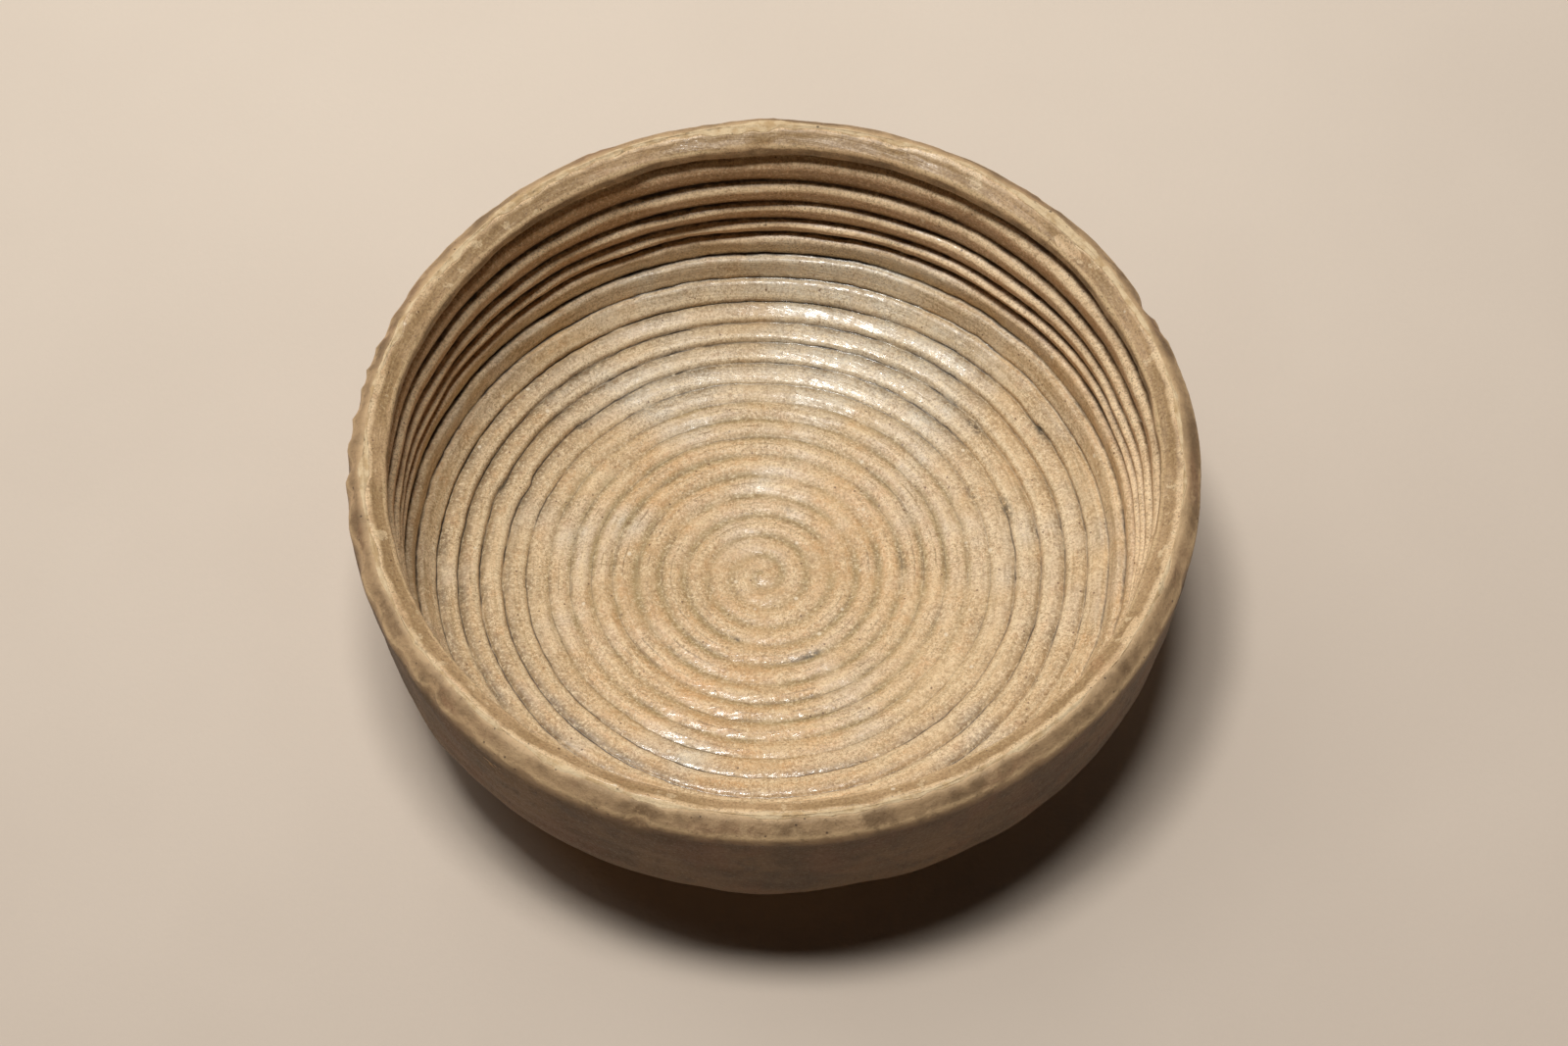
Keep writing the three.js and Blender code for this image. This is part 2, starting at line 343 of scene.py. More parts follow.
def groove(turns):
    """How far along the section the groove has come after a number of turns."""
    widening = (LAST_PITCH - PITCH) / (2 * WIDE_TURNS)
    return PITCH * turns + widening * np.maximum(0, turns - EVEN_TURNS) ** 2


def ringed(reached, points):
    """How clear the rings of the middle are: clearest a third of the way out."""
    level = np.interp(reached, *np.array(RING_LEVELS).T)
    return np.clip(level * (1 + 0.25 * waves(points, 13, seed=9)), 0, 1.4)


def ridge_height(reached):
    soft = mix(RIDGE_CENTRE, RIDGE_MIDDLE, smoothstep(reached, 0, SOFT_REACH / 2))
    turned = mix(soft, RIDGE_TURN, smoothstep(reached, SOFT_REACH, FLOOR_RADIUS))
    deep = mix(turned, RIDGE_WALL, smoothstep(reached, FLOOR_RADIUS, WALL_REACH))
    return deep * smoothstep(INSIDE.reach - reached, 0, RUN_OUT)


def inside_points(reached, angle, lift):
    """Points of the inside, with the spiral off centre and the floor leaning back."""
    radius, height, across, up = INSIDE.at(reached)
    radius, height = radius - up * lift, height + across * lift
    x = radius * np.cos(angle) - OFF_CENTRE * (1 - (reached / INSIDE.reach) ** 2)
    y = radius * np.sin(angle)
    level = 1 - smoothstep(reached, FLOOR_RADIUS, INSIDE.reach)
    return np.stack([x, y, height - math.tan(LEAN) * y * level], -1)


def around(radius, angle, height=0):
    """Points at a radius and an angle about the axis."""
    return np.stack([radius * np.cos(angle), radius * np.sin(angle), height + 0 * angle], -1)


def drift(reached, angle):
    """How far the turns have drifted at a place, in mm."""
    reach, level, across, back = np.array(DRIFT).T
    terms = [np.interp(reached, reach, column) for column in (level, across, back)]
    return terms[0] + terms[1] * np.cos(angle) + terms[2] * np.sin(angle)


def wander(points, reached, angle):
    """How far the groove strays from an even spiral, in pitches."""
    loose = smoothstep(reached, 4, 14) * (1 - smoothstep(reached, 56, 66))
    stray = loose * sum(amount * waves(points, length, seed) for amount, length, seed in WANDER)
    for reach, degrees, step, length in JOGS:
        along = apart(angle, degrees) * reach
        near = np.exp(-((along / (4 * length)) ** 2) - ((reached - reach) / 1.9) ** 2)
        stray += step * np.tanh(along / (0.35 * length)) * near
    return stray


def spiral_rows(places):
    """Reach and place in the pitch of every spiral line, column by column."""
    turns = np.arange(-1, math.ceil(EVEN_TURNS + WIDE_TURNS) + 1)
    place = (turns[:, None] + np.array(places)).ravel()
    angle = ANGLES[:, None]
    reached = groove(place[None, :] + (angle - SPIRAL_START) / TURN)
    return reached, np.broadcast_to(place % 1, reached.shape), np.broadcast_to(angle, reached.shape)


class Shell:
    """One closed piece, gathered surface by surface, with values kept at its points."""

    def __init__(self):
        self.points = []
        self.values = {}
        self.faces = []
        self.count = 0

    def add(self, points, **values):
        """Adds points and says which numbers they have."""
        points = np.asarray(points, float)
        shape = points.shape[:-1]
        size = int(np.prod(shape))
        for name in {**self.values, **values}:
            held = self.values.setdefault(name, [np.zeros(self.count)])
            value = np.broadcast_to(values.get(name, 0), shape).ravel()
            held.append(value.astype(float))
        self.points.append(points.reshape(-1, 3))
        numbers = np.arange(self.count, self.count + size).reshape(shape)
        self.count += size
        return numbers

    def rows(self, shape, places, sunk=0, **values):
        """A row of a shape's points at each place, all with the same values."""
        return [self.add(shape(place, ANGLES, sunk), **values) for place in places]

    def skin(self, first, second):
        """Faces between two closed rows of points; the second lies on the left of the first."""
        quads = np.stack([first, np.roll(first, -1), np.roll(second, -1), second], -1)
        self.faces += quads.tolist()

    def skin_rows(self, rows):
        for first, second in zip(rows[:-1], rows[1:]):
            self.skin(first, second)

    def fan(self, row, middle):
        """Faces between a closed row of points and one point."""
        self.faces += np.stack([row, np.roll(row, -1), np.full(len(row), middle)], -1).tolist()

    def spiral(self, reached, point_numbers, centre, last, lines, turned=False):
        """Faces between spiral lines. Lines before the centre or past the last row end there."""
        numbers = np.where(reached <= 0, centre, point_numbers)
        numbers = np.where(reached >= INSIDE.reach, last[:, None], numbers)
        beside = np.vstack([numbers[1:], np.r_[numbers[0, lines:], np.full(lines, last[0])][None]])
        quads = np.stack(
            [numbers[:, :-1], numbers[:, 1:], beside[:, 1:], beside[:, :-1]], -1
        ).reshape(-1, 4)
        for quad in quads.tolist():
            corners = list(dict.fromkeys(quad))
            if len(corners) > 2:
                self.faces.append(corners[::-1] if turned else corners)

    def make(self, name, material):
        mesh = bpy.data.meshes.new(name)
        points = np.vstack(self.points) * MM
        used, renumbered = np.unique(np.concatenate(self.faces), return_inverse=True)
        lengths = [len(face) for face in self.faces]
        ends = np.cumsum(lengths)
        faces = [renumbered[end - length : end].tolist() for length, end in zip(lengths, ends)]
        mesh.from_pydata(points[used].tolist(), [], faces)
        for value_name, held in self.values.items():
            attribute = mesh.attributes.new(value_name, "FLOAT", "POINT")
            attribute.data.foreach_set("value", np.concatenate(held)[used].astype(np.float32))
        mesh.polygons.foreach_set("use_smooth", np.ones(len(faces), bool))
        mesh.update()
        mesh.validate()
        piece = bpy.data.objects.new(name, mesh)
        bpy.context.scene.collection.objects.link(piece)
        mesh.materials.append(material)
        return piece


def ridge_share(place, reached, points):
    """Height of the surface within a ridge, 0 in the groove and 1 on its top."""
    crisp = np.interp(place, *np.array(FLOOR_SECTION).T)
    round_top = np.interp(place, *np.array(WALL_SECTION).T)
    soft = 0.5 - 0.5 * np.cos(TURN * place)
    second = SECOND_DEPTH * bell((place - SECOND_PLACE) / SECOND_WIDTH)
    doubled = smoothstep(reached, 7, 12) * (1 - smoothstep(reached, 33, 37))
    soft = soft - second * doubled * (0.6 + 0.4 * waves(points, 12, seed=4))
    share = mix(soft, crisp, smoothstep(reached, 29, 37))
    return mix(share, round_top, smoothstep(reached, 46, 54))


def inside_front(reached, place, angle):
    """The glazed inside, with the values that its colours read."""
    plain = inside_points(np.clip(reached, 0, INSIDE.reach), angle, 0)
    moved = reached + drift(reached, angle)
    moved = moved + PITCH * wander(plain, moved, angle)
    moved = np.minimum(moved, INSIDE.reach - 0.12 * (INSIDE.reach - reached))
    limit = np.clip(moved, 0, INSIDE.reach)
    keep = np.clip(np.where((reached <= 0) | (reached >= INSIDE.reach), reached, limit), 0, INSIDE.reach)
    depth = ridge_height(keep) * (1 + 0.09 * waves(plain, 14, seed=5) * smoothstep(keep, 3, 20))
    depth = depth * mix(mix(0.6, 1, ringed(keep, plain)), 1, smoothstep(keep, 29, 37))
    share = ridge_share(place, keep, plain)
    lumps = 0.025 * waves(plain, 8, seed=6) + 0.014 * waves(plain, 2.6, seed=7)
    lift = GLAZE + depth * share + lumps * smoothstep(INSIDE.reach - keep, 0, 4)
    lift = lift + KNOB * bell(keep / KNOB_RADIUS)
    return inside_points(keep, angle, lift), keep


def chipped(from_edge, angle):
    """How deep the outer edge of the rim is chipped, at a distance from the edge."""
    nicked = NICK_DEPTH * bell(apart(angle, NICKS_MIDDLE) / NICKS_SPREAD)
    depth = nicked * (1 + np.cos(NICKS * angle + 2 * np.cos(7 * angle)))
    for degrees, half, deepest in CHIPS:
        across = apart(angle, degrees) / math.radians(half)
        depth = depth + deepest * np.exp(-(across**4))
    return depth * bell(from_edge / CHIP_REACH)


def shape_rim(reached, angle, sunk=0):
    """The rim as it is worn and chipped, from the groove under the lip to the shoulder."""
    radius, height, across, up = RIM.at(reached)
    even = around(radius, angle, height)
    from_crest = np.abs(reached - CREST_REACH)
    glazed = smoothstep(from_crest, 0.2, 1.2)
    loose = smoothstep(reached, 0, 2.5) * smoothstep(RIM.reach - reached, 0, 0.8)
    lift = GLAZE * glazed + loose * (0.08 * waves(even, 16, seed=11) + 0.05 * waves(even, 5.5, seed=12))
    lift -= loose * 0.05 * np.abs(waves(even, 1.6, seed=13))
    worn = (0.10 + 0.1 * waves(even, 13, seed=14)) * bell(from_crest / WORN_REACH)
    lift -= np.clip(worn, 0, 0.4)
    lip_chip = np.exp(-((apart(angle, 92) / 0.02) ** 2) - ((reached - LIP_REACH) / 0.8) ** 2)
    lift -= 0.5 * lip_chip + sunk
    beyond_crest = smoothstep(reached, CREST_REACH - 1, CREST_REACH + 1)
    chip = chipped(reached - RIM.reach + EDGE_DROP, angle) * beyond_crest
    r = np.minimum(radius - up * lift, WIDEST) - chip
    z = np.minimum(height + across * lift, HEIGHT)
    return around(r, angle, z)


def shape_outside(reached, angle, sunk=0):
    """The outside with its faint throwing rings and the lean where the clay slumped."""
    radius, height, across, up = OUTSIDE.at(reached)
    even = around(radius, angle, height)
    loose = smoothstep(reached, 0, 2.5) * smoothstep(OUTSIDE.reach - reached, 0, 6)
    rings = 0.06 * np.cos(TURN * (reached / 4.2 - angle / TURN)) * smoothstep(reached, 4, 9)
    trimmed = 0.03 * np.cos(TURN * reached / 1.7) * smoothstep(reached, 22, 27)
    lift = loose * (rings + trimmed + 0.16 * waves(even, 22, seed=21) + 0.05 * waves(even, 6, seed=22))
    slumped = bell(apart(angle, SLUMP_ANGLE) / SLUMP_SPREAD)
    lift += SLUMP * loose * slumped * (1 - smoothstep(reached, 14, 24))
    lift -= sunk
    out = GLAZE * (1 - smoothstep(reached, OUTSIDE.reach - 16, OUTSIDE.reach - 12)) + lift
    r, z = radius - up * out, height + across * out
    r = np.minimum(r, WIDEST) - chipped(reached + EDGE_DROP, angle)
    return around(r, angle, np.maximum(z, 0))


def crest_edges():
    """Where each coat ends at the worn crest, by column."""
    ring = around(CREST_RING, ANGLES)
    patch = sum(
        strength * bell(apart(ANGLES, degrees) / math.radians(half))
        for degrees, half, strength in WORN
    )
    inner = 0.3 + 0.25 * waves(ring, 15, seed=31) + 0.15 * waves(ring, 3.5, seed=32) + patch
    outer = 0.35 + 0.25 * waves(ring, 12, seed=33) + 0.15 * waves(ring, 3, seed=34) + 0.5 * patch
    inner, outer = np.clip(CREST_WORN * inner, 0.12, 1.8), np.clip(CREST_WORN * outer, 0.12, 1.6)
    return CREST_REACH - inner, CREST_REACH + outer


inner_edge, outer_edge = crest_edges()


def rows_between(start, end, step):
    """Even rows from one edge to another, each edge a number or one number a column."""
    start = np.broadcast_to(start, COLUMNS)
    end = np.broadcast_to(end, COLUMNS)
    count = max(2, int(round(np.max(np.abs(end - start)) / step)) + 1)
    return [mix(start, end, share) for share in np.linspace(0, 1, count)]


def zone_values(points, reached):
    """Where the inner glaze is warm, glassy and painted with sheen, or wet, and where the painted shade at
    its grooves is darkest.
    """
    x, y = points[..., 0], points[..., 1]

    def areas(table):
        return sum(
            strength * np.exp(-((x - across) ** 2 + (y - back) ** 2) / radius**2)
            for across, back, radius, strength in table
        )

    uneven = 0.25 * waves(points, 17, seed=41) + 0.15 * waves(points, 6, seed=42)
    warm = areas(WARM)
    warm += 0.45 * smoothstep(reached, 50, 56) * smoothstep(x, -10, 40)
    glassy_and_sheen = areas(GLASSY_AND_SHEEN)
    wet = areas(WET) * (1 - smoothstep(reached, 52, 56))
    # drawn: how strong the painted shade at the grooves and rings is, stronger to the left (-X) and where
    # the rings are clear
    drawn = 0.68 - 0.005 * x + 0.001 * y + 0.5 * uneven
    drawn = mix(drawn, drawn * ringed(reached, points), 1 - smoothstep(reached, 33, 37))
    values = {"warm": warm + uneven, "glassy_and_sheen": glassy_and_sheen + uneven, "wet": wet + 0.5 * uneven, "drawn": drawn}
    return {name: np.clip(value, 0, 1) for name, value in values.items()}


def stains(reached, angle):
    total = np.zeros(np.broadcast(reached, angle).shape)
    for reach, degrees, radius, strength in STAINS:
        along = apart(angle, degrees) * np.maximum(reached, 1)
        total += strength * np.exp(-(((reached - reach) / radius) ** 2 + (along / (3 * radius)) ** 2) ** 1.5)
    return np.clip(total, 0, 1)


def scabs(across):
    total = 0 * ANGLES
    for degrees, place, half, half_across in SCABS:
        away = (apart(ANGLES, degrees) / math.radians(half)) ** 2 + ((across - place) / half_across) ** 2
        total = np.maximum(total, np.exp(-(away**1.5)))
    return total


def inner_coat(material):
    shell = Shell()
    reached, place, angle = spiral_rows(RIDGE_PLACES)
    points, keep = inside_front(reached, place, angle)
    front = shell.add(
        points, reached=keep, swirl_x=np.cos(TURN * place), swirl_y=np.sin(TURN * place),
        stain=stains(keep, angle), **zone_values(points, keep),
    )
    centre = inside_points(np.array([0.0]), 0.0, GLAZE + 0.05 + KNOB)
    middle = shell.add(centre, warm=0.5, wet=0.8)[0]

    rim_rows = []
    for row in rows_between(0, inner_edge, RIM_STEP):
        at = shape_rim(row, ANGLES)
        across = np.interp(row, [0, LIP_REACH, CREST_REACH], [0, 1, 2])
        beyond = row + INSIDE.reach
        zones = zone_values(at, beyond)
        rim_rows.append(shell.add(at, reached=beyond, rim=across, scab=scabs(across), **zones))
    shell.spiral(reached, front, middle, rim_rows[0], len(RIDGE_PLACES))
    shell.skin_rows(rim_rows)

    back_rows = [
        shell.add(shape_rim(row, ANGLES, HIDDEN_DEPTH), reached=row)
        for row in rows_between(inner_edge - TUCKED, 0, HIDDEN_STEP)
    ]
    shell.skin(rim_rows[-1], back_rows[0])
    shell.skin_rows(back_rows)
    reached, place, angle = spiral_rows(HIDDEN_PLACES)
    keep = np.clip(reached, 0, INSIDE.reach)
    behind = shell.add(inside_points(keep, angle, GLAZE - HIDDEN_DEPTH), reached=keep)
    deep = shell.add(inside_points(np.array([0.0]), 0.0, GLAZE - HIDDEN_DEPTH))[0]
    shell.spiral(reached, behind, deep, back_rows[-1], len(HIDDEN_PLACES), turned=True)
    return shell.make("inner_ash_glaze", material)


def glaze_foot():
    """The outer coat's lower edge, by column: wavy, with a few runs."""
    ring = around(FOOT_RING, ANGLES)
    heights = GLAZE_LINE + 0.7 * waves(ring, 24, seed=51) + 0.3 * waves(ring, 7, seed=52)
    for degrees, half, fall in RUNS:
        heights -= fall * bell(apart(ANGLES, degrees) / math.radians(half))
    return np.interp(-heights, -OUTSIDE.points[:, 1], OUTSIDE.lengths)


def outer_coat(material):
    shell = Shell()
    rows = []
    for row in rows_between(outer_edge, RIM.reach, RIM_STEP):
        arris = bell((row - RIM.reach + EDGE_DROP - 0.1) / 0.5)
        chip = np.clip(2.5 * chipped(row - RIM.reach + EDGE_DROP, ANGLES), 0, 1)
        brow = bell((row - CREST_REACH) / 0.9)
        rows.append(shell.add(shape_rim(row, ANGLES), bevel=1.0, lower=0, arris=arris, brow=brow, chip=chip))
    foot = glaze_foot()
    for row in rows_between(0, foot, OUTSIDE_STEP)[1:]:
        bevel, lower = 1 - smoothstep(row, 0, 1.2), 1 - smoothstep(foot - row, 0, 3)
        rows.append(shell.add(shape_outside(row, ANGLES), bevel=bevel, lower=lower))
    shell.skin_rows(rows)
    back = shell.rows(shape_outside, rows_between(foot - TUCKED, 0, HIDDEN_STEP), HIDDEN_DEPTH)
    up_to_crest = rows_between(RIM.reach, outer_edge + TUCKED, HIDDEN_RIM_STEP)[1:]
    back += shell.rows(shape_rim, up_to_crest, HIDDEN_DEPTH)
    shell.skin(rows[-1], back[0])
    shell.skin_rows(back)
    shell.skin(back[-1], rows[0])
    return shell.make("outer_ash_glaze", material)


def clay_body(material):
    shell = Shell()
    under = HIDDEN_DEPTH / 2
    reached, place, angle = spiral_rows(HIDDEN_PLACES)
    keep = np.clip(reached, 0, INSIDE.reach)
    inside = shell.add(inside_points(keep, angle, GLAZE - under))
    middle = shell.add(inside_points(np.array([0.0]), 0.0, GLAZE - under))[0]
    rows = shell.rows(shape_rim, rows_between(0, inner_edge - UNDER_EDGE, HIDDEN_RIM_STEP), under)
    shell.spiral(reached, inside, middle, rows[0], len(HIDDEN_PLACES))
    bare = rows_between(inner_edge - BARE_EDGE, outer_edge + BARE_EDGE, CREST_STEP)
    rows += shell.rows(shape_rim, bare, crest=1.0)
    rows += shell.rows(shape_rim, rows_between(outer_edge + UNDER_EDGE, RIM.reach, HIDDEN_RIM_STEP), under)
    foot = glaze_foot()
    rows += shell.rows(shape_outside, rows_between(0, foot - UNDER_EDGE, HIDDEN_STEP)[1:], under)
    rows += shell.rows(shape_outside, rows_between(foot - BARE_EDGE, OUTSIDE.reach, HEEL_STEP))
    for radius in np.linspace(OUTSIDE.points[-1, 0], BASE_CENTRE, BASE_RINGS)[1:]:
        rows.append(shell.add(around(radius, ANGLES), base=1.0))
    shell.skin_rows(rows)
    shell.fan(rows[-1], shell.add(np.zeros((1, 3)), base=1.0)[0])
    return shell.make("stoneware_body_clay", material)


# The colour sockets of a Mix node, which share their names with its other sockets
MIX_A, MIX_B, MIX_RESULT = 6, 7, 2

# How sharply a cell of spots is chosen or left out
SPOT_EDGE = 0.02


class Nodes:
    """A material's node tree, built up by short calls that give sockets."""

    def __init__(self, name):
        self.material = bpy.data.materials.new(name)
        self.material.use_nodes = True
        self.tree = self.material.node_tree
        self.shader = self.tree.nodes["Principled BSDF"]
        self.place = self.scaled(self.node("ShaderNodeTexCoord").outputs["Object"], 1 / MM)

    def node(self, kind, inputs=(), **settings):
        """A node with its settings made and its inputs fed."""
        node = self.tree.nodes.new(kind)
        for name, value in settings.items():
            setattr(node, name, value)
        for name, value in dict(inputs).items():
            self.feed(node.inputs[name], value)
        return node

    def feed(self, socket, value):
        if isinstance(value, bpy.types.NodeSocket):
            self.tree.links.new(value, socket)
        else:
            socket.default_value = value

    def value(self, name):
        return self.node("ShaderNodeAttribute", attribute_name=name).outputs["Fac"]

    def vectors(self, operation, a, b=(0, 0, 0)):
        """Sums with vectors; lengths and distances come out as numbers."""
        node = self.node("ShaderNodeVectorMath", {0: a, 1: b}, operation=operation)
        return node.outputs["Value" if operation in ("LENGTH", "DISTANCE") else "Vector"]

    def scaled(self, vector, factor):
        return self.vectors("MULTIPLY", vector, (factor, factor, factor))

    def math(self, operation, a, b=0.0):
        return self.node("ShaderNodeMath", {0: a, 1: b}, operation=operation).outputs[0]

    def times(self, first, *others):
        for other in others:
            first = self.math("MULTIPLY", first, other)
        return first

    def plus(self, a, b):
        return self.math("ADD", a, b)

    def minus(self, a, b):
        return self.math("SUBTRACT", a, b)

    def larger(self, a, b):
        return self.math("MAXIMUM", a, b)

    def away(self, value, middle):
        """How far a value lies from middle, either way."""
        return self.math("ABSOLUTE", self.minus(value, middle))

    def ramp(self, value, low, high, out_low=0.0, out_high=1.0):
        """A value carried smoothly from one range to another and held at its ends."""
        if high < low:
            low, high, out_low, out_high = high, low, out_high, out_low
        inputs = {"Value": value, "From Min": low, "From Max": high, "To Min": out_low, "To Max": out_high}
        return self.node("ShaderNodeMapRange", inputs, interpolation_type="SMOOTHSTEP").outputs["Result"]

    def noise(self, size, detail=4.0, rough=0.55, vector=None):
        """Noise of about one feature in size millimetres."""
        vector = self.place if vector is None else vector
        inputs = {"Vector": vector, "Scale": 1 / size, "Detail": detail, "Roughness": rough}
        return self.node("ShaderNodeTexNoise", inputs).outputs["Fac"]

    def spots(self, spacing, size, soft, share):
        """Round spots: one in each cell of spacing, kept in a share of the cells."""
        cells = self.node("ShaderNodeTexVoronoi", {"Vector": self.place, "Scale": 1 / spacing}, feature="F1")
        near = self.ramp(cells.outputs["Distance"], size * soft, size, 1, 0)
        channels = self.node("ShaderNodeSeparateColor", {"Color": cells.outputs["Color"]})
        chosen = self.ramp(channels.outputs["Red"], share, share + SPOT_EDGE, 1, 0)
        return self.times(near, chosen)

    def laid(self, colour, *layers):
        """A colour under layers: each a colour, and the shares whose product is its strength."""
        for layer, *shares in layers:
            inputs = {"Factor": self.times(*shares), MIX_A: colour, MIX_B: layer}
            colour = self.node("ShaderNodeMix", inputs, data_type="RGBA").outputs[MIX_RESULT]
        return colour

    def bump(self, height, size, normal=None):
        """Relief of size millimetres."""
        inputs = {"Strength": 1, "Distance": size * MM, "Height": height}
        if normal is not None:
            inputs["Normal"] = normal
        return self.node("ShaderNodeBump", inputs).outputs["Normal"]

    def finish(self, colour, roughness, normal, **settings):
        settings.update(Base_Color=colour, Roughness=roughness, Normal=normal)
        for name, value in settings.items():
            self.feed(self.shader.inputs[name.replace("_", " ")], value)
        return self.material


def tint(red, green, blue):
    """A colour given as it looks, 0 to 255, made linear."""

    def linear(c):
        c /= 255
        return c / 12.92 if c <= 0.04045 else ((c + 0.055) / 1.055) ** 2.4

    return (linear(red), linear(green), linear(blue), 1)


# The inner glaze: its ground, milky where it pooled and where a sheen is painted, the streaks along the
# turns, and a painted shadow line in the grooves
BUFF = tint(201, 170, 128)
BUFF_PALE = tint(219, 189, 147)
CREAM_PATCH = tint(236, 211, 170)
TAN_PATCH = tint(204, 158, 108)
ORANGE_TAN = tint(220, 169, 112)
MILKY_AND_SHEEN = tint(226, 218, 198)
STREAK_DARK = tint(160, 136, 96)
STREAK_PALE = tint(234, 210, 168)
GROOVE_SHADOW_LINE = tint(62, 47, 32)

# The rings of the middle, the crisp grooves round it and the wall: pooled olive glaze, painted shade in the
# valleys, grooves and under the wall's ridges, and painted highlights on the ridge tops
RING_OLIVE_SHADE = tint(166, 142, 98)
RING_TOP_HIGHLIGHT = tint(236, 208, 164)
RING_LINE = tint(120, 96, 64)
GROOVE_SHADE = tint(104, 92, 72)
RIDGE_HIGHLIGHT = tint(234, 212, 174)
WALL_TAN = tint(196, 148, 102)
WALL_UNDERSIDE_SHADE = tint(112, 78, 50)
WALL_TOP_HIGHLIGHT = tint(244, 214, 172)
WALL_GROOVE_SHADOW = tint(66, 45, 30)

# Grains, stains and specks
MOTTLE_DARK = tint(154, 124, 84)
MOTTLE_PALE = tint(238, 214, 174)
THREAD_PALE = tint(238, 218, 182)
GRAIN_DARK = tint(142, 108, 72)
GRAIN_PALE = tint(246, 224, 186)
GRAIN_FINE = tint(124, 96, 64)
STAIN = tint(68, 63, 54)
PEPPER = tint(82, 66, 50)
IRON_SPECK = tint(92, 60, 40)
PALE_SPECK = tint(240, 226, 200)

# The rim inside its crest, from the neck up, with painted shade under the lip and a painted highlight on its
# edge
NECK_SHADE = tint(106, 78, 52)
LIP_UNDERSIDE_SHADE = tint(112, 88, 60)
LIP_EDGE = tint(222, 194, 150)
RIM_TAN = tint(190, 155, 115)
RIM_PALE = tint(214, 179, 137)
RIM_OLIVE = tint(162, 131, 91)
RIM_RUBBED = tint(226, 196, 154)
RIM_FLAKE = tint(226, 200, 160)
RIM_SCAB = tint(224, 192, 150)
RIM_RUST = tint(184, 136, 94)
RIM_STREAK = tint(134, 108, 76)
RIM_GRAIN_PALE = tint(224, 198, 156)
RIM_GRAIN_FINE = tint(112, 86, 58)
RIM_GRAIN_DARK = tint(116, 90, 60)

# The outer glaze and the bevel of the rim
OUTSIDE_DARK = tint(98, 75, 49)
OUTSIDE_BROWN = tint(126, 97, 65)
OUTSIDE_PATCH = tint(86, 66, 42)
OUTSIDE_RED = tint(126, 88, 58)
OUTSIDE_FOOT = tint(84, 64, 44)
OUTSIDE_GRAIN_DARK = tint(76, 58, 40)
OUTSIDE_GRAIN_PALE = tint(168, 142, 108)
OUTSIDE_SPECK = tint(54, 39, 28)
BEVEL_OLIVE = tint(126, 100, 70)
BEVEL_TAN = tint(174, 143, 106)
BEVEL_RED = tint(140, 104, 74)
BEVEL_PALE = tint(196, 166, 126)
BEVEL_EDGE = tint(214, 182, 138)
BEVEL_BROW = tint(212, 180, 138)
BEVEL_CHIP = tint(198, 164, 124)

# The bare clay, and the floor that the bowl stands on, with a painted pool of light on the floor
CLAY_BUFF = tint(178, 142, 104)
CLAY_PALE = tint(200, 166, 126)
CLAY_RED = tint(158, 112, 76)
CREST_CLAY = tint(196, 165, 122)
CREST_PALE = tint(224, 199, 160)
CLAY_GRAIN = tint(128, 98, 68)
CLAY_SPECK = tint(70, 50, 36)
CUT_BROWN = tint(132, 100, 70)
FLOOR_LIT = tint(221, 207, 191)
FLOOR_FALLOFF_SHADE = tint(191, 177, 163)


def streak_place(n, across, along):
    """Coordinates drawn out along the turns: fine across them, long round them."""
    stretched = n.node("ShaderNodeCombineXYZ", {"X": n.math("DIVIDE", n.value("reached"), across)})
    return n.vectors("ADD", n.scaled(n.place, 1 / along), stretched.outputs["Vector"])


def within_pitch(n):
    """Place within the pitch, 0 to 1 from groove to groove, and a share that is 0 on the rim."""
    x, y = n.value("swirl_x"), n.value("swirl_y")
    place = n.math("FRACT", n.math("DIVIDE", n.math("ARCTAN2", y, x), TURN))
    return place, n.ramp(n.plus(n.times(x, x), n.times(y, y)), 0.3, 0.8)


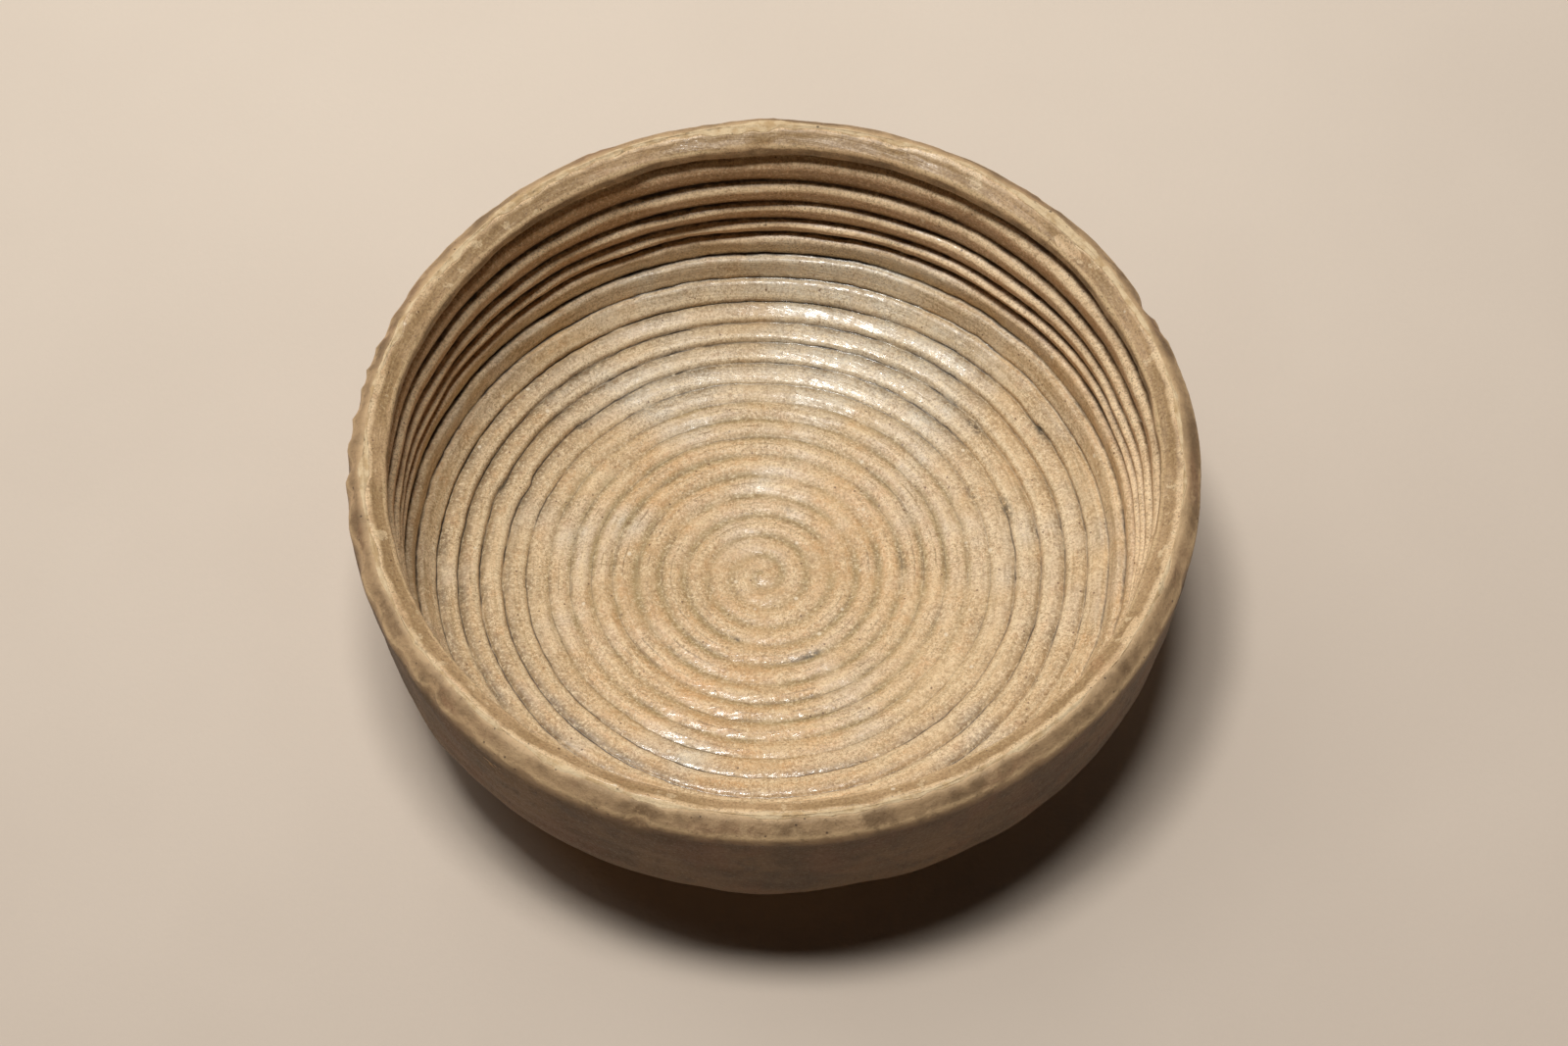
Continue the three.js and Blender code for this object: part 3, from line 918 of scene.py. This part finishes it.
def inner_glaze_material():
    n = Nodes("inner_ash_glaze")
    patch = n.noise(3.6, 5, 0.6)
    mottle = n.noise(1.0, 5, 0.65)
    grain = n.noise(0.45, 4, 0.7)
    streaks = n.noise(1, 4, 0.6, streak_place(n, 0.55, 7))
    threads = n.noise(1, 3, 0.55, streak_place(n, 0.2, 4))
    wobble = n.times(n.minus(n.noise(2.4, 3), 0.5), 0.07)
    place, inside = within_pitch(n)
    place = n.plus(place, wobble)
    to_groove = n.math("MINIMUM", n.math("ABSOLUTE", place), n.math("ABSOLUTE", n.minus(1, place)))
    reached = n.value("reached")
    middle = n.times(n.ramp(reached, 37, 29), inside)
    outer_floor = n.times(n.ramp(reached, 29, 38), inside)
    wall = n.times(n.ramp(reached, 56, 61), inside)

    colour = ash_ground(n, patch)
    drawn_out = n.ramp(reached, 20, 40, 0.25, 1)
    colour = n.laid(
        colour,
        (STREAK_DARK, n.ramp(streaks, 0.5, 0.32, 0, 0.5), drawn_out),
        (STREAK_PALE, n.ramp(streaks, 0.54, 0.7, 0, 0.4), drawn_out),
    )
    colour = soft_rings(n, colour, place, to_groove, middle)
    colour = crisp_grooves(n, colour, place, outer_floor, mottle)
    colour = wall_ridges(n, colour, place, wall)
    colour = ash_grain(n, colour, mottle, grain, n.times(threads, drawn_out))
    # A painted shadow line along each groove, clearest on the outer floor
    line = n.times(n.ramp(to_groove, 0.01, 0.05, 1, 0), n.ramp(n.noise(5, 4), 0.36, 0.56, 0.3, 1))
    clearer_outside = n.plus(n.times(outer_floor, 0.6), n.ramp(reached, 14, 24, 0, 0.4))
    colour = n.laid(
        colour,
        (GROOVE_SHADOW_LINE, line, n.ramp(n.value("drawn"), 0.2, 0.9, 0.4, 1), clearer_outside, inside),
        (rim_tint(n, patch, grain, streaks), n.ramp(n.value("rim"), 0.1, 0.3)),
    )
    colour = ash_specks(n, colour, to_groove)

    wet = n.times(n.value("wet"), n.ramp(n.noise(1.4, 4, 0.6), 0.4, 0.56))
    roughness = n.minus(n.ramp(grain, 0.3, 0.7, 0.46, 0.6), n.times(wet, 0.2))
    roughness = n.minus(roughness, n.times(n.value("glassy_and_sheen"), 0.12))
    skin = n.plus(n.noise(1.6, 3, 0.5), n.noise(1, 2, 0.5, streak_place(n, 0.7, 2.4)))
    coat = {"Coat_Weight": wet, "Coat_Normal": n.bump(skin, 0.16), "Coat_Roughness": 0.13, "Coat_IOR": 1.5}
    normal = n.bump(n.minus(n.plus(grain, threads), n.spots(1.9, 0.12, 0.3, 0.25)), 0.04)
    normal = n.bump(n.plus(streaks, n.times(mottle, 0.5)), 0.08, normal)
    return n.finish(colour, roughness, normal, IOR=1.5, **coat)


def ash_ground(n, patch):
    """The glaze's colour: buff with cream and tan, orange-tan where warm, milky where it pooled, and a
    painted sheen in the milky colour on the back floor.
    """
    return n.laid(
        BUFF,
        (BUFF_PALE, n.ramp(n.noise(16, 3), 0.35, 0.65)),
        (CREAM_PATCH, n.ramp(n.noise(2.7, 5, 0.62), 0.53, 0.66, 0, 0.45)),
        (TAN_PATCH, n.ramp(n.noise(3.3, 5, 0.62), 0.47, 0.34, 0, 0.5)),
        (ORANGE_TAN, n.value("warm"), n.ramp(patch, 0.35, 0.7, 0.3, 0.85)),
        (MILKY_AND_SHEEN, n.value("glassy_and_sheen"), n.ramp(patch, 0.3, 0.7, 0.5, 0.9)),
    )


def soft_rings(n, colour, place, to_groove, middle):
    """The middle floor: a wide olive ring to each turn, pooled glaze darkened with painted shade, a painted
    highlight on the ridge between, and broken fine lines.
    """
    ring = n.times(n.ramp(to_groove, 0.04, 0.32, 1, 0), n.ramp(n.noise(7, 3), 0.35, 0.6, 0.3, 0.85))
    between = n.times(n.ramp(to_groove, 0.3, 0.46), n.ramp(n.noise(5, 3), 0.4, 0.62, 0, 0.5))
    lines = n.larger(n.ramp(n.away(place, 0.92), 0, 0.07, 1, 0), n.ramp(n.away(place, 0.57), 0, 0.06, 1, 0))
    broken = n.times(n.ramp(n.value("reached"), 3, 12), n.ramp(n.noise(6, 4), 0.44, 0.58, 0, 0.7))
    drawn = n.value("drawn")
    return n.laid(
        colour,
        (RING_OLIVE_SHADE, ring, n.ramp(drawn, 0.1, 0.7, 0.5, 1.1), middle),
        (RING_TOP_HIGHLIGHT, between, middle),
        (RING_LINE, lines, broken, drawn, middle),
    )


def crisp_grooves(n, colour, place, outer_floor, mottle):
    """The outer floor: painted grey shade in front of each groove and a painted highlight on the ridge just
    past it.
    """
    shade = n.times(n.ramp(place, 0.4, 0.94), n.ramp(mottle, 0.3, 0.62, 1, 0.65), n.value("drawn"))
    uneven = n.ramp(n.noise(6, 4), 0.34, 0.6, 0.6, 1.1)
    return n.laid(
        colour,
        (GROOVE_SHADE, shade, uneven, n.ramp(n.value("reached"), 46, 52, 1, 0.3), outer_floor),
        (RIDGE_HIGHLIGHT, n.ramp(n.away(place, 0.22), 0, 0.2, 1, 0), 0.45, outer_floor),
    )


def wall_ridges(n, colour, place, wall):
    """The wall: painted shade under each ridge, a painted highlight along its top, and painted shadow in the
    groove and at the neck under the lip.
    """
    top = n.times(n.ramp(place, 0.7, 0.85), n.ramp(place, 0.995, 0.95))
    deep = n.larger(n.ramp(place, 0.02, 0.1, 0.35, 0), n.ramp(place, 0.97, 0.99, 0, 0.35))
    at_neck = n.ramp(n.value("reached"), INSIDE.reach - 1, INSIDE.reach - 0.3, 0, 0.45)
    return n.laid(
        colour,
        (WALL_TAN, wall, 0.7),
        (WALL_UNDERSIDE_SHADE, n.ramp(place, 0.72, 0.04), n.ramp(n.noise(5, 3), 0.3, 0.7, 0.65, 0.95), wall),
        (WALL_TOP_HIGHLIGHT, top, n.ramp(n.noise(4, 4), 0.3, 0.6, 0.6, 1), wall),
        (WALL_GROOVE_SHADOW, n.larger(deep, at_neck), wall),
    )


def ash_grain(n, colour, mottle, grain, threads):
    """Cream and brown grains, thicker in some areas than in others."""
    grainy = n.ramp(n.noise(6, 4), 0.36, 0.6, 0.62, 1)
    return n.laid(
        colour,
        (MOTTLE_DARK, n.ramp(mottle, 0.5, 0.36, 0, 0.3)),
        (MOTTLE_PALE, n.ramp(mottle, 0.54, 0.68, 0, 0.35)),
        (THREAD_PALE, n.ramp(threads, 0.56, 0.8, 0, 0.3)),
        (GRAIN_DARK, n.ramp(grain, 0.5, 0.64, 0, 0.48), grainy),
        (GRAIN_PALE, n.ramp(grain, 0.48, 0.36, 0, 0.56), grainy),
        (GRAIN_FINE, n.ramp(n.noise(0.28, 3, 0.65), 0.52, 0.6, 0, 0.5), grainy),
    )


def ash_specks(n, colour, to_groove):
    """Stains, pepper beside the grooves, and scattered dark and pale specks."""
    pepper = n.times(n.spots(0.75, 0.24, 0.3, 0.35), n.ramp(n.noise(4, 4), 0.46, 0.6))
    return n.laid(
        colour,
        (STAIN, n.value("stain"), n.ramp(n.noise(0.9, 3), 0.35, 0.55, 0, 0.85)),
        (PEPPER, pepper, n.ramp(to_groove, 0.1, 0.3, 0.7, 0.3)),
        (IRON_SPECK, n.spots(1.7, 0.13, 0.4, 0.35), 0.8),
        (PALE_SPECK, n.spots(3.1, 0.13, 0.5, 0.22), 0.6),
    )


def rim_tint(n, patch, grain, streaks):
    """Painted shade under the lip, a painted highlight on its edge, olive over it, tan and rubbed pale at
    the crest.
    """
    rim = n.value("rim")
    across = n.plus(rim, n.times(n.minus(patch, 0.5), 0.6))
    olive = n.times(n.ramp(across, 1.04, 1.2), n.ramp(across, 1.86, 1.62))
    scab = n.times(n.value("scab"), n.ramp(n.noise(1.5, 5, 0.7), 0.3, 0.75, 1.3, 0.5))
    return n.laid(
        RIM_TAN,
        (RIM_PALE, n.ramp(patch, 0.35, 0.65)),
        (RIM_OLIVE, olive, n.ramp(n.noise(12, 4), 0.36, 0.56, 0.45, 0.95)),
        (RIM_RUBBED, n.ramp(across, 1.62, 1.82), n.ramp(n.noise(8, 5, 0.7), 0.46, 0.52, 0.1, 0.85)),
        (RIM_FLAKE, n.ramp(n.noise(3.5, 4, 0.6), 0.62, 0.65), n.ramp(rim, 1, 1.1), 0.6),
        (LIP_EDGE, n.ramp(n.away(rim, 1.04), 0.03, 0.14, 0.6, 0), n.ramp(streaks, 0.38, 0.6, 0.2, 1)),
        (LIP_UNDERSIDE_SHADE, n.ramp(rim, 1, 0.9), n.ramp(patch, 0.35, 0.65, 0.75, 0.3)),
        (NECK_SHADE, n.ramp(rim, 0.5, 0.3, 0, 0.8)),
        (RIM_SCAB, n.ramp(scab, 0.42, 0.52, 0, 0.85)),
        (RIM_RUST, n.ramp(n.noise(13, 5, 0.7), 0.6, 0.72, 0, 0.4)),
        (RIM_STREAK, n.ramp(streaks, 0.46, 0.3, 0, 0.2)),
        (RIM_GRAIN_PALE, n.ramp(grain, 0.48, 0.36, 0, 0.3)),
        (RIM_GRAIN_FINE, n.ramp(n.noise(0.3, 3, 0.65), 0.52, 0.62, 0, 0.4)),
        (RIM_GRAIN_DARK, n.ramp(grain, 0.52, 0.66, 0, 0.55)),
    )


def outer_glaze_material():
    n = Nodes("outer_ash_glaze")
    patch = n.noise(3, 5, 0.6)
    grain = n.noise(0.5, 4, 0.7)
    mottled = n.plus(n.times(n.noise(8, 4), 0.6), n.times(patch, 0.4))
    bevel = n.laid(
        BEVEL_OLIVE,
        (BEVEL_TAN, n.ramp(mottled, 0.4, 0.58)),
        (BEVEL_RED, n.ramp(n.noise(10, 5, 0.65), 0.5, 0.62, 0, 0.7)),
        (BEVEL_PALE, n.ramp(n.noise(5, 5, 0.65), 0.54, 0.66, 0, 0.6)),
        (BEVEL_EDGE, n.value("arris"), n.ramp(patch, 0.36, 0.5, 0.35, 0.95)),
        (BEVEL_BROW, n.value("brow"), n.ramp(n.noise(5, 4), 0.36, 0.6, 0.5, 1)),
        (BEVEL_CHIP, n.value("chip"), n.ramp(n.noise(1.2, 4, 0.65), 0.42, 0.56, 0.1, 0.9)),
    )
    colour = n.laid(
        OUTSIDE_DARK,
        (OUTSIDE_BROWN, n.ramp(n.noise(14, 4), 0.32, 0.66)),
        (OUTSIDE_PATCH, n.ramp(patch, 0.46, 0.68, 0, 0.6)),
        (OUTSIDE_RED, n.ramp(n.noise(9, 4), 0.48, 0.68, 0, 0.6)),
        (bevel, n.value("bevel")),
        (OUTSIDE_FOOT, n.value("lower"), 0.5),
        (OUTSIDE_GRAIN_DARK, n.ramp(grain, 0.55, 0.75, 0, 0.5)),
        (OUTSIDE_GRAIN_PALE, n.ramp(grain, 0.42, 0.28, 0, 0.4)),
        (OUTSIDE_SPECK, n.spots(1.4, 0.16, 0.4, 0.3), 0.8),
    )
    normal = n.bump(n.plus(grain, n.times(patch, 0.8)), 0.16)
    return n.finish(colour, n.ramp(grain, 0.3, 0.7, 0.55, 0.75), normal, IOR=1.5)


def clay_material():
    n = Nodes("stoneware")
    patch = n.noise(2.5, 5, 0.65)
    grain = n.noise(0.35, 5, 0.7)
    cut = string_cut(n)
    colour = n.laid(
        CLAY_BUFF,
        (CLAY_PALE, n.ramp(n.noise(12, 4), 0.35, 0.65)),
        (CLAY_RED, n.ramp(patch, 0.55, 0.72, 0, 0.6)),
        (n.laid(CREST_CLAY, (CREST_PALE, n.ramp(patch, 0.35, 0.6))), n.value("crest")),
        (CLAY_GRAIN, n.ramp(grain, 0.58, 0.75, 0, 0.5)),
        (CLAY_SPECK, n.spots(1.6, 0.2, 0.4, 0.25), 0.8),
        (CUT_BROWN, cut, 0.3),
    )
    normal = n.bump(n.minus(grain, n.spots(2.2, 0.2, 0.3, 0.35)), 0.16)
    normal = n.bump(n.minus(patch, cut), 0.35, normal)
    return n.finish(colour, n.ramp(grain, 0.3, 0.7, 0.8, 0.93), normal, IOR=1.45)


# The string's loops: where their centre lies, how they are flattened, and the space between them
CUT_SHIFT = (19, 12, 0)
CUT_FLATTENED = (1, 0.72, 0)
CUT_SPACING = 2.6


def string_cut(n):
    """The looping scores that a drawn string leaves across the base."""
    flat = n.vectors("MULTIPLY", n.vectors("ADD", n.place, CUT_SHIFT), CUT_FLATTENED)
    wobbled = n.plus(n.vectors("LENGTH", flat), n.times(n.noise(9, 3), 3))
    score = n.math("SINE", n.times(wobbled, TURN / CUT_SPACING))
    return n.times(n.ramp(score, 0.1, 1.0), n.value("base"))


clay = clay_body(clay_material())
inner = inner_coat(inner_glaze_material())
outer = outer_coat(outer_glaze_material())
for piece, node, slot_name in (
    (clay, "stoneware_body", "stoneware"),
    (inner, "inner_glaze", "inner_ash_glaze"),
    (outer, "outer_glaze", "outer_ash_glaze"),
):
    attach(piece, "root")
    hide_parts(node)


# The floor, in metres: half its width, its front edge, where it stands up, its top and its bend
FLOOR_HALF = 4.0
FLOOR_FRONT = -4.0
FLOOR_BACK = 1.4
FLOOR_TOP = 1.6
FLOOR_BEND = 0.6
FLOOR_LIT_PLACE = (-60, 250, 0)  # in mm, where it is lightest


def make_floor():
    """A pale sheet that curves up far behind the bowl, with a painted pool of light that darkens away from
    one place.
    """
    bend_from = FLOOR_BACK - FLOOR_BEND
    profile = [(FLOOR_FRONT, 0.0), (bend_from, 0.0)]
    profile += [
        (bend_from + FLOOR_BEND * math.sin(a), FLOOR_BEND - FLOOR_BEND * math.cos(a))
        for a in np.linspace(0, math.pi / 2, 25)[1:]
    ]
    profile.append((FLOOR_BACK, FLOOR_TOP))
    points = [(x, y, z) for y, z in profile for x in (-FLOOR_HALF, FLOOR_HALF)]
    faces = [(2 * i, 2 * i + 1, 2 * i + 3, 2 * i + 2) for i in range(len(profile) - 1)]
    mesh = bpy.data.meshes.new("floor")
    mesh.from_pydata(points, [], faces)
    mesh.polygons.foreach_set("use_smooth", np.ones(len(faces), bool))
    floor = bpy.data.objects.new("floor", mesh)
    bpy.context.scene.collection.objects.link(floor)
    n = Nodes("pale_floor")
    soft = n.noise(60, 3)
    # A painted pool of light: the floor darkens away from FLOOR_LIT_PLACE
    away = n.vectors("DISTANCE", n.place, FLOOR_LIT_PLACE)
    darker = n.plus(n.ramp(away, 60, 420), n.ramp(soft, 0.3, 0.7, -0.05, 0.05))
    colour = n.laid(FLOOR_LIT, (FLOOR_FALLOFF_SHADE, darker))
    normal = n.bump(n.noise(1.2, 3), 0.05)
    mesh.materials.append(n.finish(colour, n.ramp(soft, 0.3, 0.7, 0.85, 0.9), normal))


make_floor()


def area_light(name, place, aim, size, energy, colour):
    """A round lamp at a place, turned to shine at aim."""
    data = bpy.data.lights.new(name, "AREA")
    data.shape = "DISK"
    data.size = size
    data.energy = energy
    data.color = colour
    lamp = bpy.data.objects.new(name, data)
    lamp.location = place
    direction = np.array(aim, float) - np.array(place, float)
    across = math.hypot(direction[0], direction[1])
    lamp.rotation_euler = (
        math.atan2(across, -direction[2]),
        0,
        math.atan2(direction[1], direction[0]) - math.pi / 2,
    )
    bpy.context.scene.collection.objects.link(lamp)


# The lamps: place as a slope from straight above, width for each metre of height, power, colour
LAMP_HEIGHT = 2.5
LAMP_AIM = (0, 0, 0.02)
LAMPS = (
    ("left", (-0.186, 0.021), 0.194, 31, (1, 0.985, 0.955)),
    ("above", (0.004, 0.015), 0.196, 24, (1, 0.985, 0.955)),
    ("broad", (-0.42, 0.36), 0.9, 16, (1, 0.985, 0.96)),
)
WORLD_COLOUR = (0.98, 0.99, 1, 1)
WORLD_STRENGTH = 0.01

for lamp_name, slope, width, power, lamp_colour in LAMPS:
    lamp_place = [LAMP_HEIGHT * number for number in (*slope, 1)]
    area_light(lamp_name, lamp_place, LAMP_AIM, LAMP_HEIGHT * width, power, lamp_colour)

world = bpy.data.worlds.new("soft_studio")
world.use_nodes = True
background = world.node_tree.nodes["Background"]
background.inputs["Color"].default_value = WORLD_COLOUR
background.inputs["Strength"].default_value = WORLD_STRENGTH
bpy.context.scene.world = world

# The view: from the front, 58 degrees above the floor, through a long lens
ELEVATION = math.radians(57.94)
DISTANCE = 636.7
AIM = (1.5, -11.6, HEIGHT)
IMAGE_WIDTH = 1600
FOCAL = 4700  # in pixels of the image
SENSOR = 36
camera_data = bpy.data.cameras.new("camera")
camera_data.sensor_width = SENSOR
camera_data.sensor_fit = "HORIZONTAL"
camera_data.lens = FOCAL * SENSOR / IMAGE_WIDTH
camera = bpy.data.objects.new("camera", camera_data)
camera.location = (
    AIM[0] * MM,
    (AIM[1] - DISTANCE * math.cos(ELEVATION)) * MM,
    (AIM[2] + DISTANCE * math.sin(ELEVATION)) * MM,
)
camera.rotation_euler = (math.pi / 2 - ELEVATION, 0, 0)
bpy.context.scene.collection.objects.link(camera)
bpy.context.scene.camera = camera

bpy.context.scene.view_settings.view_transform = "Standard"
